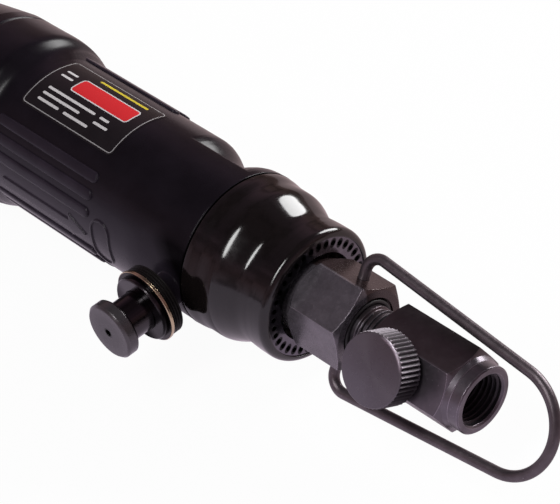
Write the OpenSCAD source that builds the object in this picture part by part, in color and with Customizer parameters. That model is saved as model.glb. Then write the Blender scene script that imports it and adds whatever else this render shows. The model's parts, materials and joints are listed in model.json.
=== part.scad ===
// Reversible push-to-start air screwdriver, impact type, with inline flow regulator and wire hanger.
// Millimetres. Origin: centre of the air inlet's mouth. +X runs forward to the bit, +Z is the top,
// +Y is the side of the reverse button. Angles round the body count from +Z towards +Y.

/* [Body] */
// outside radius of the grip
body_r = 20.7; // [19.5:0.1:23]
// outside radius of the front half
front_r = 24.0; // [23:0.1:27]
// from the seam to the motor, the valve block
valve_len = 25.6; // [25:0.1:32]
// radius of the motor bore
motor_bore_r = 17.05; // [16.9:0.05:17.4]
// length of the threaded front socket
front_len = 17; // [14:0.5:22]
// height of the grip ribs
rib_h = 0.5; // [0.3:0.1:0.8]
// width of a grip rib
rib_w = 2.1; // [1.5:0.1:3]
// depth of the thumb relief
relief_depth = 3.9; // [2:0.1:4.5]
// height of the raised arrow and oval
mark_h = 0.35; // [0.2:0.05:0.6]

/* [Rear cap] */
// length of the exhaust cap
cap_len = 26; // [25:0.5:34]
// radius at the rear end of the cap
cap_end_r = 17.8; // [17.4:0.1:19]
// radius of the cap's skirt
cap_skirt_r = 20.15; // [19.6:0.05:20.6]
// exhaust holes round the ring
exhaust_holes = 36; // [18:1:40]
// diameter of an exhaust hole
exhaust_d = 1.4; // [0.8:0.05:1.6]

/* [Inlet] */
// inlet bushing across flats
bush_af = 21; // [20:0.5:21.5]
// length of the bushing's hexagon in view
bush_len = 17.2; // [14:0.1:24]
// threaded neck in view between regulator and bushing
neck_gap = 7.7; // [6:0.1:12]

/* [Regulator] */
// regulator across flats
reg_af = 19; // [18:0.5:20]
// length of the regulator's hexagon
reg_len = 24.3; // [23:0.1:34]
// length of the round end
round_len = 4.4; // [3:0.1:8]
// radius of the round end
round_r = 8.7; // [8:0.1:9.2]
// wall radius of the inlet thread
thread_r = 6.58; // [6.2:0.01:6.9]
// depth of the inlet thread
thread_len = 12; // [9:0.5:13]
// knob radius over the knurl
knob_r = 9.0; // [7:0.1:10.5]
// knob thickness
knob_h = 7.4; // [5:0.1:10]
// knurl teeth
knurl_teeth = 48; // [24:1:60]

/* [Hanger] */
// radius of the hanger wire
wire_r = 1.4; // [1.2:0.05:1.5]
// radius of the bow's centre line
bow_r = 12.85; // [12:0.05:18]
// from the hinge to the bow's centre
bow_reach = 50; // [44:0.5:70]
// spread of each arm
arm_spread = 5.6; // [4.5:0.1:8]
// sideways play of the hanger, taken up on one side
bail_play = 0.5; // [0:0.1:0.6]

/* [Reverse valve] */
// button radius
button_r = 7.4; // [6:0.1:8]
// button thickness
button_h = 3.4; // [2:0.1:5]
// stem radius
stem_r = 5.25; // [4.8:0.05:5.4]
// travel of the button
button_travel = 4; // [3:0.5:4]
// stem in view under the button
stem_view = 6.8; // [5:0.1:9]
// spool radius
spool_r = 3.4; // [3:0.05:3.5]

/* [Motor and impact drive] */
// length of the motor cylinder
cyl_len = 32; // [24:0.5:45]
// radius of the cylinder's bore
cyl_bore_r = 13.3; // [12.8:0.1:13.6]
// offset of the cylinder's bore
cyl_offset = 1.1; // [0.6:0.1:1.3]
// rotor radius
rotor_r = 11.9; // [11:0.1:11.9]
// number of vanes
vane_count = 5; // [4:1:6]
// length of the front case
case_len = 40.5; // [40:0.5:52]
// radius of the nose
nose_r = 14.5; // [13.5:0.1:16]
// push of the spindle that opens the throttle
push_travel = 2.5; // [1:0.1:2.5]

/* [Chuck] */
// hexagon socket across flats
socket_af = 6.45; // [6.4:0.01:6.6]
// depth of the socket
socket_len = 21; // [19:0.5:24]
// radius of the chuck collar
sleeve_r = 9.8; // [9.6:0.1:13]
// length of the chuck collar
sleeve_len = 20; // [19:0.5:21.5]
// travel of the chuck collar
sleeve_travel = 4; // [2:0.5:4]

/* [Hidden] */
$fn = 72;
eps = 0.02;
run = 0.06;

// stations along the axis
x_hex0 = round_len;
x_hex1 = x_hex0 + reg_len;
x_knob = x_hex0 + 15.5;
x_bush = x_hex1 + neck_gap;
x_hinge = x_bush + 5.8;
x_cap = x_bush + bush_len;
x_seam = x_cap + cap_len - 0.2;
x_ledge = x_seam - 16.2;
x_spigot = x_seam - 12.4;
x_shank = x_seam - 3.9;
x_spool = x_seam + 4;
x_chamber = x_spool + 8.1;
x_motor = x_seam + valve_len;
plate_len = 9;
x_cyl0 = x_motor + plate_len;
x_cyl1 = x_cyl0 + cyl_len;
x_front = x_cyl1 + plate_len;
x_foot = x_front - 4;
x_case = x_front + front_len;
x_nose = x_case + case_len;
x_cage = x_front + 3;
x_ball = x_nose + 13.5;
x_tip = x_nose + 30.5;

// rear cap
cap_rim_r = 15.9;
cap_round = cap_end_r - cap_rim_r;
cap_waist_r = cap_end_r - 0.3;
cap_flare_r = body_r;
spigot_r = 17.2;
cavity_r = 16.2;
hole_circle_r = 14.2;
lip_r = 11.4;

// inlet bushing
flange_r = lip_r - 0.2;
shank_r = 10;
neck_r = 6.55;
neck_root_r = 6;
bush_bore_r = 5;
hinge_angle = -30;
pin_in = bush_af / 2 - 2.6;

// regulator and knob
knob_angle = 60;
knob_gap = 0.55;
knob_back = reg_af / 2 + knob_gap;
plug_r = 4.25;
plug_end = -reg_af / 2 - 1.2;

// hanger
corner_r = 4;
corner_a = (bow_r - corner_r + (bow_reach - corner_r) * sin(arm_spread)) / cos(arm_spread);
arm_len = (bow_reach + bow_r * sin(arm_spread) - corner_r - corner_r * sin(arm_spread)) / cos(arm_spread);

// reverse valve, stations along +Y
y_boss = body_r + 4.3;
boss_r = spool_r + 1;
guide_r = 6.15;
y_cup = y_boss + 0.7;
y_washer = y_boss + 2.9;
y_disc = y_washer + 1.1;
y_flange = y_disc + 1.4;
y_head = y_flange + stem_view;
y_stem = y_cup + button_travel + 0.1;
y_far = -body_r + 0.4;
end_r = spool_r - 0.1;
feed_y = 13.2;
seal_y = feed_y + 4.5;
exhaust_r = 13.4;

// throttle
chamber_r = 7;
rod_r = 1.9;
x_seat = x_motor - 6;
x_poppet = x_seat - 0.1;

// impact drive
front_wall = 3.55;
spigot_wall = 2;
cage_gap = 0.8;
cage_wall = 2;
socket_r = front_r - front_wall;
case_spigot_r = socket_r - 0.05;
case_bore_r = case_spigot_r - spigot_wall;
cage_r = case_bore_r - cage_gap;
hammer_out = cage_r - cage_wall - 0.4;
hammer_in = 9.4;
pin_circle = hammer_out - 2;
journal_r = 5;
x_cage_front = x_cage + 26;
x_cage_end = x_cage_front + 3.6;
x_anvil = x_cage + 9.5;
x_wall = x_case + 17.5;
anvil_r = 8;
nose_shank_r = 6.8;
bush_out_r = 12;
x_bush0 = x_nose - 18.5;
x_bush1 = x_nose - 4;
x_groove = x_tip - 2.5;

// outline helpers: every outline point is [radius, station]
function arc(cr, cx, rad, a0, a1, n = 6) =
    [for (i = [0:n]) let (a = a0 + (a1 - a0) * i / n) [cr + rad * cos(a), cx + rad * sin(a)]];
function ease(r0, x0, r1, x1, n = 8) =
    [for (i = [0:n]) [r0 + (r1 - r0) * (1 - cos(180 * i / n)) / 2, x0 + (x1 - x0) * i / n]];

// a solid turned about the X axis
module along_x(x = 0) {
    translate([x, 0, 0])
        rotate([0, 90, 0])
            children();
}

module rod(r, x0, x1) {
    along_x(x0)
        cylinder(r = r, h = x1 - x0);
}

module turned(outline) {
    along_x()
        rotate_extrude()
            polygon(outline);
}

module tube(r_in, r_out, x0, x1) {
    turned([[r_in, x0], [r_out, x0], [r_out, x1], [r_in, x1]]);
}

module seal(r_mid, r_sec, x) {
    along_x(x)
        rotate_extrude()
            translate([r_mid, 0])
                circle(r = r_sec, $fn = 24);
}

module hex_bar(af, x0, x1, turn) {
    along_x(x0)
        rotate([0, 0, turn])
            cylinder(r = af / 2 / cos(30), h = x1 - x0, $fn = 6);
}

// children stand along +Z and are turned to an angle round the body
module at_angle(a) {
    rotate([-a, 0, 0])
        children();
}

// a round piece standing across the body at a station, between two heights
module stud(r, x, h0, h1) {
    translate([x, 0, h0])
        cylinder(r = r, h = h1 - h0);
}

module stud_turned(x, outline) {
    translate([x, 0, 0])
        rotate_extrude()
            polygon(outline);
}

// a raised shape on the grip: the 2D child lies along the body
module raised(a, h, x0, x1) {
    intersection() {
        tube(body_r - 0.6, body_r + h, x0, x1);
        at_angle(a)
            linear_extrude(height = body_r + 5)
                children();
    }
}

// a round wire wound about the X axis
module coil(r_mid, r_wire, x0, x1, turns) {
    steps = 12 * turns;
    sides = 6;
    rise = (x1 - x0 - 2 * r_wire) / steps;
    points = [for (i = [0:steps]) for (k = [0:sides - 1])
        let (r = r_mid + r_wire * cos(360 * k / sides), a = 30 * i)
        [x0 + r_wire + rise * i + r_wire * sin(360 * k / sides), r * cos(a), r * sin(a)]];
    faces = [for (i = [0:steps - 1]) for (k = [0:sides - 1])
        let (p = i * sides + k, q = i * sides + (k + 1) % sides)
        [p, p + sides, q + sides, q]];
    cap0 = [[for (k = [0:sides - 1]) k]];
    cap1 = [[for (k = [sides - 1:-1:0]) steps * sides + k]];
    polyhedron(points = points, faces = concat(faces, cap0, cap1), convexity = 8);
}

// housing, cap and inlet

module housing_outside() {
    rise_len = 11.4;
    rise = front_r - body_r;
    shoulder = [for (i = [0:9]) let (u = 1 - i / 9)
        [front_r - rise * pow(u, 2.65), x_foot + rise_len * (1 - u)]];
    turned(concat(
        [[0, x_spigot], [spigot_r - 0.6, x_spigot], [spigot_r, x_spigot + 0.6], [spigot_r, x_seam]],
        [[body_r - 0.35, x_seam], [body_r, x_seam + 0.35]],
        [[body_r, x_foot - 1.2], [body_r + 0.1, x_foot - 0.3]],
        [for (p = shoulder) if (p[1] > x_foot + 0.4) p],
        [[front_r - 0.15, x_case - 0.5], [front_r - 0.55, x_case], [0, x_case]]));
}

module grip_ribs() {
    for (side = [-1, 1])
        for (a = [46, 59, 72, 108, 121, 134])
            let (rib_x0 = x_foot - (side > 0 ? 37.5 : 34.2))
                raised(side * a, rib_h, rib_x0 - 1, x_foot + 2)
                    union() {
                        translate([rib_x0 + rib_w / 2, -rib_w / 2])
                            square([x_foot + 3 - rib_x0, rib_w]);
                        translate([rib_x0 + rib_w / 2, 0])
                            circle(d = rib_w);
                    }
}

module pill(r, half) {
    translate([-r, -half])
        square([2 * r, 2 * half]);
    for (y = [-half, half])
        translate([0, y])
            circle(r = r);
}

module side_marks() {
    x_oval = x_foot - 42;
    x_arrow = x_foot - 36.5;
    raised(91, mark_h, x_oval - 5, x_oval + 5)
        translate([x_oval, 0])
            difference() {
                pill(3.5, 3.5);
                pill(3.0, 3.5);
            }
    raised(91, mark_h, x_arrow - 1, x_arrow + 34)
        polygon([[x_arrow, 0], [x_arrow + 6.3, 3.5], [x_arrow + 6.3, 1.6], [x_arrow + 32.5, 1.6],
            [x_arrow + 32.5, -1.6], [x_arrow + 6.3, -1.6], [x_arrow + 6.3, -3.5]]);
}

module thumb_relief() {
    x_mid = x_seam + 13.2;
    x_rear = x_seam + 1.8;
    x_fore = x_seam + 23;
    floor_r = body_r - relief_depth;
    valley = concat(
        ease(body_r + 0.02, x_rear, floor_r, x_mid, 8),
        [for (p = ease(floor_r, x_mid, body_r + 0.02, x_fore, 8)) if (p[1] > x_mid) p]);
    along_x()
        rotate([0, 0, 200])
            rotate_extrude(angle = 140)
                polygon(concat(valley, [[body_r + 4, x_fore], [body_r + 4, x_rear]]));
}

module reverse_boss() {
    difference() {
        at_angle(90)
            stud(boss_r, x_spool, body_r - 5, y_boss);
        rod(cap_flare_r + 0.3, x_spool - 12, x_seam);
    }
}

module motor_housing() {
    color("#2b2a2e")
        difference() {
            union() {
                housing_outside();
                grip_ribs();
                side_marks();
                reverse_boss();
            }
            thumb_relief();
            rod(shank_r + 0.05, x_spigot - 1, x_shank + 0.6);
            rod(chamber_r, x_chamber, x_motor + 1);
            rod(motor_bore_r, x_motor, x_front + 1);
            rod(socket_r, x_front, x_case + 1);
            at_angle(90)
                stud(spool_r + run, x_spool, -front_r, front_r + 4);
            for (a = [150, 180, 210])
                at_angle(a)
                    translate([0, 0, exhaust_r])
                        rod(1.8, x_spigot - 1, x_motor + 1);
            for (side = [-1, 1]) {
                translate([0, side * feed_y, 0])
                    rod(1.6, x_spool, x_motor + 1);
                translate([0, 0, side * 5.4])
                    rod(1.4, x_shank - 1, x_chamber + 1);
            }
        }
}

module rear_cap() {
    x_waist = x_cap + 9.6;
    x_top = x_cap + 17.6;
    outside = concat(
        arc(cap_rim_r, x_cap + cap_round - 0.2, cap_round, -90, 0, 8),
        [[cap_end_r, x_cap + 4.2]],
        ease(cap_end_r, x_cap + 4.4, cap_waist_r, x_waist, 3),
        [for (p = ease(cap_waist_r, x_waist, cap_skirt_r, x_top, 10)) if (p[1] > x_waist) p],
        [for (p = ease(cap_skirt_r + 0.05, x_seam - 5.2, cap_flare_r, x_seam - 0.9, 6)) p],
        [[cap_flare_r, x_seam - 0.35], [cap_flare_r - 0.35, x_seam]]);
    inside = [[spigot_r + 0.05, x_seam], [spigot_r + 0.05, x_ledge + 3.2], [shank_r + 0.4, x_ledge + 3.2],
        [shank_r + 0.4, x_ledge], [cavity_r, x_ledge], [cavity_r, x_cap + 2.2], [cap_rim_r, x_cap + 2.2]];
    color("#1d1a19")
        difference() {
            turned(concat(outside, inside));
            for (i = [0:11])
                at_angle(30 * i)
                    translate([0, 0, 14.2])
                        rod(1.3, x_ledge - 1, x_ledge + 4);
        }
}

module exhaust_ring() {
    x_face = x_cap + 0.15;
    color("#77757a")
        difference() {
            turned([[lip_r, x_face + 0.4], [lip_r + 0.3, x_face], [cap_rim_r - 0.02, x_face],
                [cap_rim_r - 0.02, x_face + 2], [lip_r, x_face + 2]]);
            for (i = [0:exhaust_holes - 1])
                at_angle(360 * i / exhaust_holes)
                    translate([0, 0, hole_circle_r])
                        rod(exhaust_d / 2, x_face - 1, x_face + 3);
        }
}

module muffler() {
    color("#6b665c")
        tube(lip_r + 0.4, cavity_r - 0.05, x_cap + 2.6, x_ledge - 0.1);
}

module inlet_bushing() {
    x_flange = x_ledge - 4;
    x_end = x_cap - 0.6;
    corner = bush_af / 2 / cos(30) + 0.05;
    groove = shank_r - 1.2;
    color("#39373b")
        difference() {
            union() {
                intersection() {
                    hex_bar(bush_af, x_bush, x_end, 0);
                    turned([[0, x_bush], [bush_af / 2 - 0.3, x_bush], [corner, x_bush + 0.8],
                        [corner, x_end - 2], [bush_af / 2 - 0.2, x_end], [0, x_end]]);
                }
                turned([[0, x_end - 1], [shank_r, x_end - 1], [shank_r, x_flange], [flange_r, x_flange],
                    [flange_r, x_ledge], [shank_r, x_ledge], [shank_r, x_spigot + 0.6],
                    [groove, x_spigot + 0.6], [groove, x_spigot + 2], [shank_r, x_spigot + 2],
                    [shank_r, x_shank - 0.6], [shank_r - 0.6, x_shank], [0, x_shank]]);
            }
            rod(neck_r + 0.05, x_bush - 1, x_bush + 10.6);
            rod(bush_bore_r, x_bush, x_shank + 1);
            turned([[0, x_bush - 1], [neck_r + 1.65, x_bush - 1], [neck_r + 1.65, x_bush + 0.6],
                [neck_r, x_bush + 1.6], [0, x_bush + 1.6]]);
            at_angle(hinge_angle) {
                stud(wire_r + run, x_hinge, pin_in - bail_play - 0.3, bush_af);
                stud(wire_r + run, x_hinge, -bush_af, bail_play + 0.3 - pin_in);
            }
        }
}

module inlet_oring() {
    color("#141414")
        seal(shank_r - 0.6, 0.58, x_spigot + 1.3);
}

module inlet_screen() {
    color("#b9b4a6")
        difference() {
            tube(0, bush_bore_r - 0.02, x_bush + 11, x_bush + 12);
            for (a = [0:60:300])
                at_angle(a) {
                    translate([0, 0, 1.6])
                        rod(0.5, x_bush + 10, x_bush + 13);
                    translate([0, 0, 3.4])
                        rod(0.5, x_bush + 10, x_bush + 13);
                }
        }
}

// regulator and hanger

module regulator_body() {
    corner = reg_af / 2 / cos(30);
    x_in = x_bush + 10.2;
    color("#3b393d")
        difference() {
            union() {
                turned([[0, 0], [round_r - 0.35, 0], [round_r, 0.35], [round_r, x_hex0 - 0.5],
                    [round_r - 0.4, x_hex0 - 0.4], [round_r - 0.4, x_hex0 + 0.2], [0, x_hex0 + 0.2]]);
                intersection() {
                    hex_bar(reg_af, x_hex0, x_hex1, 30);
                    turned([[0, x_hex0], [reg_af / 2 - 0.2, x_hex0], [corner + 0.05, x_hex0 + 1],
                        [corner + 0.05, x_hex1 - 1], [reg_af / 2 - 0.2, x_hex1], [0, x_hex1]]);
                }
                turned([[0, x_hex1 - 1], [neck_root_r, x_hex1 - 1], [neck_root_r, x_bush - 1.6],
                    [neck_r, x_bush - 1.2], [neck_r, x_in - 0.5], [neck_r - 0.5, x_in], [0, x_in]]);
            }
            turned([[0, -1], [thread_r + 0.52, -1], [thread_r + 0.52, 0], [thread_r, 0.52],
                [thread_r, thread_len], [4, thread_len + 1.4], [0, thread_len + 1.4]]);
            rod(4, thread_len, x_in + 1);
            at_angle(knob_angle)
                stud(plug_r + run, x_knob, -reg_af, reg_af);
        }
}

module regulator_oring() {
    color("#121213")
        seal(neck_r + 0.57, 0.55, x_bush + 0.35);
}

module regulator_knob() {
    top = knob_back + knob_h;
    tooth = 0.6;
    star = [for (i = [0:2 * knurl_teeth - 1]) let (r = knob_r - (i % 2 == 0 ? 0 : tooth))
        [r * cos(180 * i / knurl_teeth), r * sin(180 * i / knurl_teeth)]];
    color("#323035")
        at_angle(knob_angle)
            difference() {
                union() {
                    intersection() {
                        translate([x_knob, 0, knob_back])
                            linear_extrude(height = knob_h)
                                polygon(star);
                        stud_turned(x_knob, [[0, knob_back], [knob_r - 0.7, knob_back],
                            [knob_r + 0.1, knob_back + 0.8], [knob_r + 0.1, top - 0.5], [knob_r - 0.4, top],
                            [0, top]]);
                    }
                    stud_turned(x_knob, [[0, plug_end], [plug_r - 0.4, plug_end], [plug_r, plug_end + 0.4],
                        [plug_r, -reg_af / 2 - 0.8], [plug_r - 0.7, -reg_af / 2 - 0.8],
                        [plug_r - 0.7, -reg_af / 2 - 0.1], [plug_r, -reg_af / 2 - 0.1], [plug_r, 6.2],
                        [plug_r - 0.8, 6.2], [plug_r - 0.8, 7.6], [plug_r, 7.6], [plug_r, knob_back + 0.5],
                        [0, knob_back + 0.5]]);
                }
                translate([x_knob - 10, 0, 0])
                    rod(3, 0, 20);
            }
}

module knob_oring() {
    color("#141414")
        at_angle(knob_angle)
            translate([x_knob, 0, 6.9])
                rotate_extrude()
                    translate([plug_r - 0.37, 0])
                        circle(r = 0.4, $fn = 24);
}

module knob_clip() {
    z0 = -reg_af / 2 - 0.78;
    color("#6f6c70")
        at_angle(knob_angle)
            stud_turned(x_knob, [[plug_r - 0.68, z0], [plug_r + 1.6, z0], [plug_r + 1.6, z0 + 0.66],
                [plug_r - 0.68, z0 + 0.66]]);
}

// the bail lies in a plane: local X along the hinge, local Y to the rear
module bail_half() {
    translate([pin_in, 0, 0])
        rotate([0, 90, 0])
            cylinder(r = wire_r, h = corner_a - pin_in);
    translate([corner_a, corner_r, 0])
        rotate([0, 0, -90])
            rotate_extrude(angle = 90 + arm_spread)
                translate([corner_r, 0])
                    circle(r = wire_r, $fn = 32);
    translate([corner_a + corner_r * cos(arm_spread), corner_r + corner_r * sin(arm_spread), 0])
        rotate([-90, 0, arm_spread])
            cylinder(r = wire_r, h = arm_len);
}

module hanger_bail() {
    color("#35333a")
        translate([x_hinge, 0, 0])
            at_angle(hinge_angle)
                rotate([90, -90, 0])
                    translate([-bail_play, 0, 0]) {
                        bail_half();
                        mirror([1, 0, 0])
                            bail_half();
                        translate([0, bow_reach, 0])
                            rotate([0, 0, arm_spread])
                                rotate_extrude(angle = 180 - 2 * arm_spread)
                                    translate([bow_r, 0])
                                        circle(r = wire_r, $fn = 32);
                    }
}

// reverse valve, across the body on +Y

module reverse_collar() {
    r = 9.4;
    step = (y_washer - y_boss) / 4;
    ridge = [for (i = [0:3]) let (y = y_boss + step * i)
        each [[r - 0.4, y], [r, y + 0.15], [r, y + 0.4]]];
    color("#2b292e")
        at_angle(90)
            stud_turned(x_spool, concat([[spool_r + 0.2, y_boss]], ridge, [[r - 0.4, y_washer],
                [guide_r + 0.1, y_washer], [guide_r + 0.1, y_cup], [spool_r + 0.2, y_cup]]));
}

module reverse_washer() {
    r = 9.7;
    color("#8a6a4a")
        at_angle(90)
            stud_turned(x_spool, [[guide_r + 0.1, y_washer], [r - 0.25, y_washer], [r, y_washer + 0.25],
                [r, y_disc - 0.25], [r - 0.25, y_disc], [guide_r + 0.1, y_disc]]);
}

module reverse_flange() {
    r = 8.55;
    color("#333136")
        at_angle(90)
            stud_turned(x_spool, [[stem_r + 0.07, y_cup], [guide_r, y_cup], [guide_r, y_disc], [r, y_disc],
                [r, y_flange - 0.3], [r - 0.3, y_flange], [stem_r + 0.07, y_flange]]);
}

module reverse_spool() {
    waist = spool_r - 1;
    groove = spool_r - 0.85;
    flow_waist = [[spool_r, feed_y - 2.8], [waist, feed_y - 2.2], [waist, feed_y + 2],
        [spool_r, feed_y + 2.6]];
    top = y_head + button_h;
    color("#37353b")
        at_angle(90)
            difference() {
                stud_turned(x_spool, concat(
                    [[0, y_far], [spool_r - 0.3, y_far], [spool_r, y_far + 0.3]],
                    [for (y = [-seal_y, 0, seal_y])
                        each concat(y > 0 ? flow_waist : [],
                            [[spool_r, y - 0.5], [groove, y - 0.5], [groove, y + 0.5], [spool_r, y + 0.5]],
                            y < 0 ? [for (i = [3:-1:0]) [flow_waist[i][0], -flow_waist[i][1]]] : [])],
                    [[spool_r, y_stem], [stem_r - 0.3, y_stem], [stem_r, y_stem + 0.3], [stem_r, y_head],
                     [button_r - 0.4, y_head], [button_r, y_head + 0.4], [button_r, top - 0.6],
                     [button_r - 0.6, top], [0, top]]));
                stud(0.95, x_spool, top - 2, top + 1);
                stud(1.5, x_spool, y_far - 1, y_far + 4);
            }
}

module spool_orings() {
    color("#141414")
        at_angle(90)
            for (y = [-seal_y, 0, seal_y])
                translate([x_spool, 0, y])
                    rotate_extrude()
                        translate([spool_r - 0.41, 0])
                            circle(r = 0.43, $fn = 24);
}

module spool_end() {
    color("#37353b")
        at_angle(90)
            union() {
                stud_turned(x_spool, [[0, y_far - 1.3], [end_r - 0.6, y_far - 1.3], [end_r, y_far - 0.7],
                    [end_r, y_far - 0.02], [0, y_far - 0.02]]);
                stud(1.48, x_spool, y_far - 0.5, y_far + 3.9);
            }
}

// throttle

module throttle_seat() {
    color("#8d8a85")
        turned([[3, x_seat + 0.6], [3.6, x_seat], [chamber_r, x_seat], [chamber_r, x_motor - 0.05],
            [5.4, x_motor - 0.05], [5.4, x_seat + 2.5], [3, x_seat + 2.5]]);
}

module throttle_valve() {
    color("#97948f")
        turned([[0, x_chamber + push_travel + 0.3], [2, x_chamber + push_travel + 0.3], [2.3, x_poppet - 3.6],
            [4.8, x_poppet - 3.6], [4.8, x_poppet - 0.8], [4.1, x_poppet], [0, x_poppet]]);
}

module throttle_spring() {
    color("#a5a29c")
        coil(3.4, 0.4, x_chamber + 0.05, x_poppet - 3.65, 3);
}

module push_rod() {
    color("#b2afa9")
        rod(rod_r, x_poppet, x_anvil - 1.5);
}

module thrust_button() {
    x_end = x_anvil - 0.1;
    color("#7d7a76")
        turned([[0, x_anvil - 1.5], [2.6, x_anvil - 1.5], [3, x_anvil - 1.1], [3, x_end], [0, x_end]]);
}

// motor

module plate_passages(x0, x1) {
    for (a = [150, 180, 210])
        at_angle(a)
            translate([0, 0, exhaust_r])
                rod(1.8, x0, x1);
    for (side = [-1, 1])
        translate([0, side * feed_y, 0])
            rod(1.6, x0, x1);
}

module end_plate(x0, turn) {
    difference() {
        translate([x0, 0, 0])
            mirror([turn, 0, 0])
                turned([[5.6, plate_len - 2.8], [11.03, plate_len - 2.8], [11.03, 0],
                    [motor_bore_r - 0.05, 0], [motor_bore_r - 0.05, plate_len], [5.6, plate_len]]);
        translate([0, 0, 14.6])
            rod(1.2, x_cyl0 - 4, x_cyl1 + 4);
    }
}

module rear_end_plate() {
    color("#8f8c88")
        difference() {
            end_plate(x_motor, 0);
            plate_passages(x_motor - 1, x_cyl0 + 1);
        }
}

module front_end_plate() {
    color("#8f8c88")
        end_plate(x_front, 1);
}

module motor_cylinder() {
    color("#8b8985")
        difference() {
            rod(motor_bore_r - 0.05, x_cyl0, x_cyl1);
            translate([0, 0, -cyl_offset])
                rod(cyl_bore_r, x_cyl0 - 1, x_cyl1 + 1);
            translate([0, 0, 14.6])
                rod(1.2, x_cyl0 - 1, x_cyl1 + 1);
        }
}

module cylinder_dowel() {
    color("#9a9894")
        translate([0, 0, 14.6])
            rod(1.18, x_cyl0 - 3.9, x_cyl1 + 3.9);
}

module bearing_outer(x) {
    difference() {
        tube(8.6, 11, x, x + 6);
        seal(7.9, 1.6, x + 3);
    }
}

module bearing_inner(x) {
    difference() {
        tube(journal_r, 7.2, x, x + 6);
        seal(7.9, 1.6, x + 3);
    }
}

module bearing_balls(x) {
    for (a = [0:45:315])
        at_angle(a)
            translate([x + 3, 0, 7.9])
                sphere(r = 1.52, $fn = 24);
}

module rear_bearing_outer() {
    color("#a09e9a")
        bearing_outer(x_motor + 0.15);
}

module rear_bearing_inner() {
    color("#a09e9a")
        bearing_inner(x_motor + 0.15);
}

module rear_bearing_balls() {
    color("#c9c8c4")
        bearing_balls(x_motor + 0.15);
}

module front_bearing_outer() {
    color("#a09e9a")
        bearing_outer(x_front - 6.15);
}

module front_bearing_inner() {
    color("#a09e9a")
        bearing_inner(x_front - 6.15);
}

module front_bearing_balls() {
    color("#c9c8c4")
        bearing_balls(x_front - 6.15);
}

module rotor() {
    journal = journal_r - 0.02;
    color("#7b7975")
        difference() {
            union() {
                turned([[0, x_motor + 0.4], [journal - 0.3, x_motor + 0.4], [journal, x_motor + 0.7],
                    [journal, x_cyl0 + 0.15], [rotor_r, x_cyl0 + 0.15], [rotor_r, x_cyl1 - 0.15],
                    [journal, x_cyl1 - 0.15], [journal, x_front + 0.4], [0, x_front + 0.4]]);
                hex_bar(8, x_front, x_cage + 4.9, 0);
            }
            rod(rod_r + run, x_motor - 1, x_cage + 10);
            for (i = [0:vane_count - 1])
                at_angle(360 * i / vane_count)
                    translate([x_cyl0 - 1, -0.85, 6])
                        cube([cyl_len + 2, 1.7, rotor_r]);
        }
}

module vanes() {
    color("#5a4632")
        for (i = [0:vane_count - 1])
            at_angle(360 * i / vane_count)
                translate([x_cyl0 + 0.25, -0.8, 6.1])
                    cube([cyl_len - 0.5, 1.6, rotor_r - 6.2]);
}

// impact drive and front case

module hammer_cage() {
    color("#6d6a67")
        difference() {
            turned([[0, x_cage], [cage_r - 0.6, x_cage], [cage_r, x_cage + 0.6], [cage_r, x_cage_end - 0.6],
                [cage_r - 0.6, x_cage_end], [0, x_cage_end]]);
            rod(cage_r - cage_wall, x_cage + 5, x_cage_front);
            rod(anvil_r + 0.1, x_cage_front - 1, x_cage_end + 1);
            hex_bar(8.06, x_cage - 1, x_cage + 6, 0);
            for (side = [0, 180]) {
                at_angle(side)
                    translate([0, 0, pin_circle])
                        rod(1.82, x_cage + 1.4, x_cage_end - 0.9);
                at_angle(side + 90)
                    translate([x_cage + 6.5, -9, 0])
                        cube([x_cage_front - x_cage - 8, 18, cage_r + 1]);
            }
        }
}

module hammers() {
    gap = 1;
    x0 = x_cage + 6;
    len = (x_cage_front - x0 - 1 - gap) / 2;
    color("#5d5a58")
        for (i = [0, 1])
            difference() {
                tube(hammer_in, hammer_out, x0 + i * (len + gap), x0 + i * (len + gap) + len);
                for (side = [0, 180])
                    at_angle(side)
                        translate([0, 0, pin_circle])
                            rod(1.86, x0 - 1, x_cage_front + 1);
            }
}

module hammer_pins() {
    color("#9a9894")
        for (side = [0, 180])
            at_angle(side)
                translate([0, 0, pin_circle])
                    rod(1.8, x_cage + 1.5, x_cage_end - 1);
}

module hammer_case() {
    spigot = case_spigot_r;
    x_taper = x_case + 15;
    color("#2b2a2e")
        difference() {
            turned(concat(
                [[case_bore_r, x_front + 0.15], [spigot, x_front + 0.15], [spigot, x_case - 5.6],
                 [spigot - 1, x_case - 5.6], [spigot - 1, x_case - 4], [spigot, x_case - 4], [spigot, x_case],
                 [front_r - 0.55, x_case], [front_r - 0.15, x_case + 0.5], [front_r - 0.2, x_case + 4]],
                arc(front_r - 9.8, x_taper - 4, 9, 30, 74, 6),
                [[nose_r + 1.4, x_nose - 14.5]],
                arc(nose_r + 2, x_nose - 11, 2, 215, 180, 3),
                [[nose_r, x_nose - 1], [nose_r - 1, x_nose], [anvil_r + 0.6, x_nose],
                 [anvil_r + 0.6, x_nose - 1.3], [bush_out_r + 0.03, x_nose - 1.3],
                 [bush_out_r + 0.03, x_wall], [case_bore_r, x_wall]]));
            for (side = [-1, 1])
                translate([x_nose - 7.5, side * (nose_r - 1) - (side < 0 ? 4 : 0), -10])
                    cube([5.5, 4, 20]);
        }
}

module case_oring() {
    color("#141414")
        seal(case_spigot_r - 0.48, 0.5, x_case - 4.8);
}

module nose_bushing() {
    color("#8a6f45")
        tube(anvil_r + run, bush_out_r, x_bush0, x_bush1);
}

module nose_seal() {
    color("#141414")
        turned([[anvil_r + 0.1, x_bush1 + 0.1], [bush_out_r, x_bush1 + 0.1], [bush_out_r, x_nose - 1.4],
            [bush_out_r - 1, x_nose - 1.4], [bush_out_r - 1.4, x_nose - 2.4], [anvil_r + 0.1, x_nose - 2.4]]);
}

// output spindle and chuck

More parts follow.
